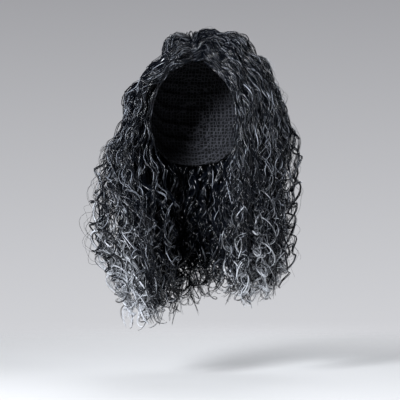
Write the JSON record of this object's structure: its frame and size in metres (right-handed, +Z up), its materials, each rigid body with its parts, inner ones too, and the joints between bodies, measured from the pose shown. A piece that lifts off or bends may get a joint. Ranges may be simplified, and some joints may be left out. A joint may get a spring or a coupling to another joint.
{
  "type": "curly wig",
  "caption": "Shoulder-length curly wig: black hair with silver ends on a hollow net cap, parted on the wearer's right with a swept fringe.",
  "frame": {"origin": "inside top of the cap, where the crown of the head sits", "axes": "+Z up, the wearer faces -Y, +X is the wearer's left"},
  "size_m": [0.293, 0.2475, 0.4081],
  "materials": {
    "cap_net": "dull black stretch net",
    "hair": "curled synthetic fibre with a soft shine, black turning silver at the ends"
  },
  "bodies": {
    "root": {"wig_cap": "cap_net", "fringe_locks": "hair", "left_side_locks": "hair", "back_left_locks": "hair", "back_locks": "hair", "back_right_locks": "hair", "right_side_locks": "hair"}
  },
  "joints": []
}
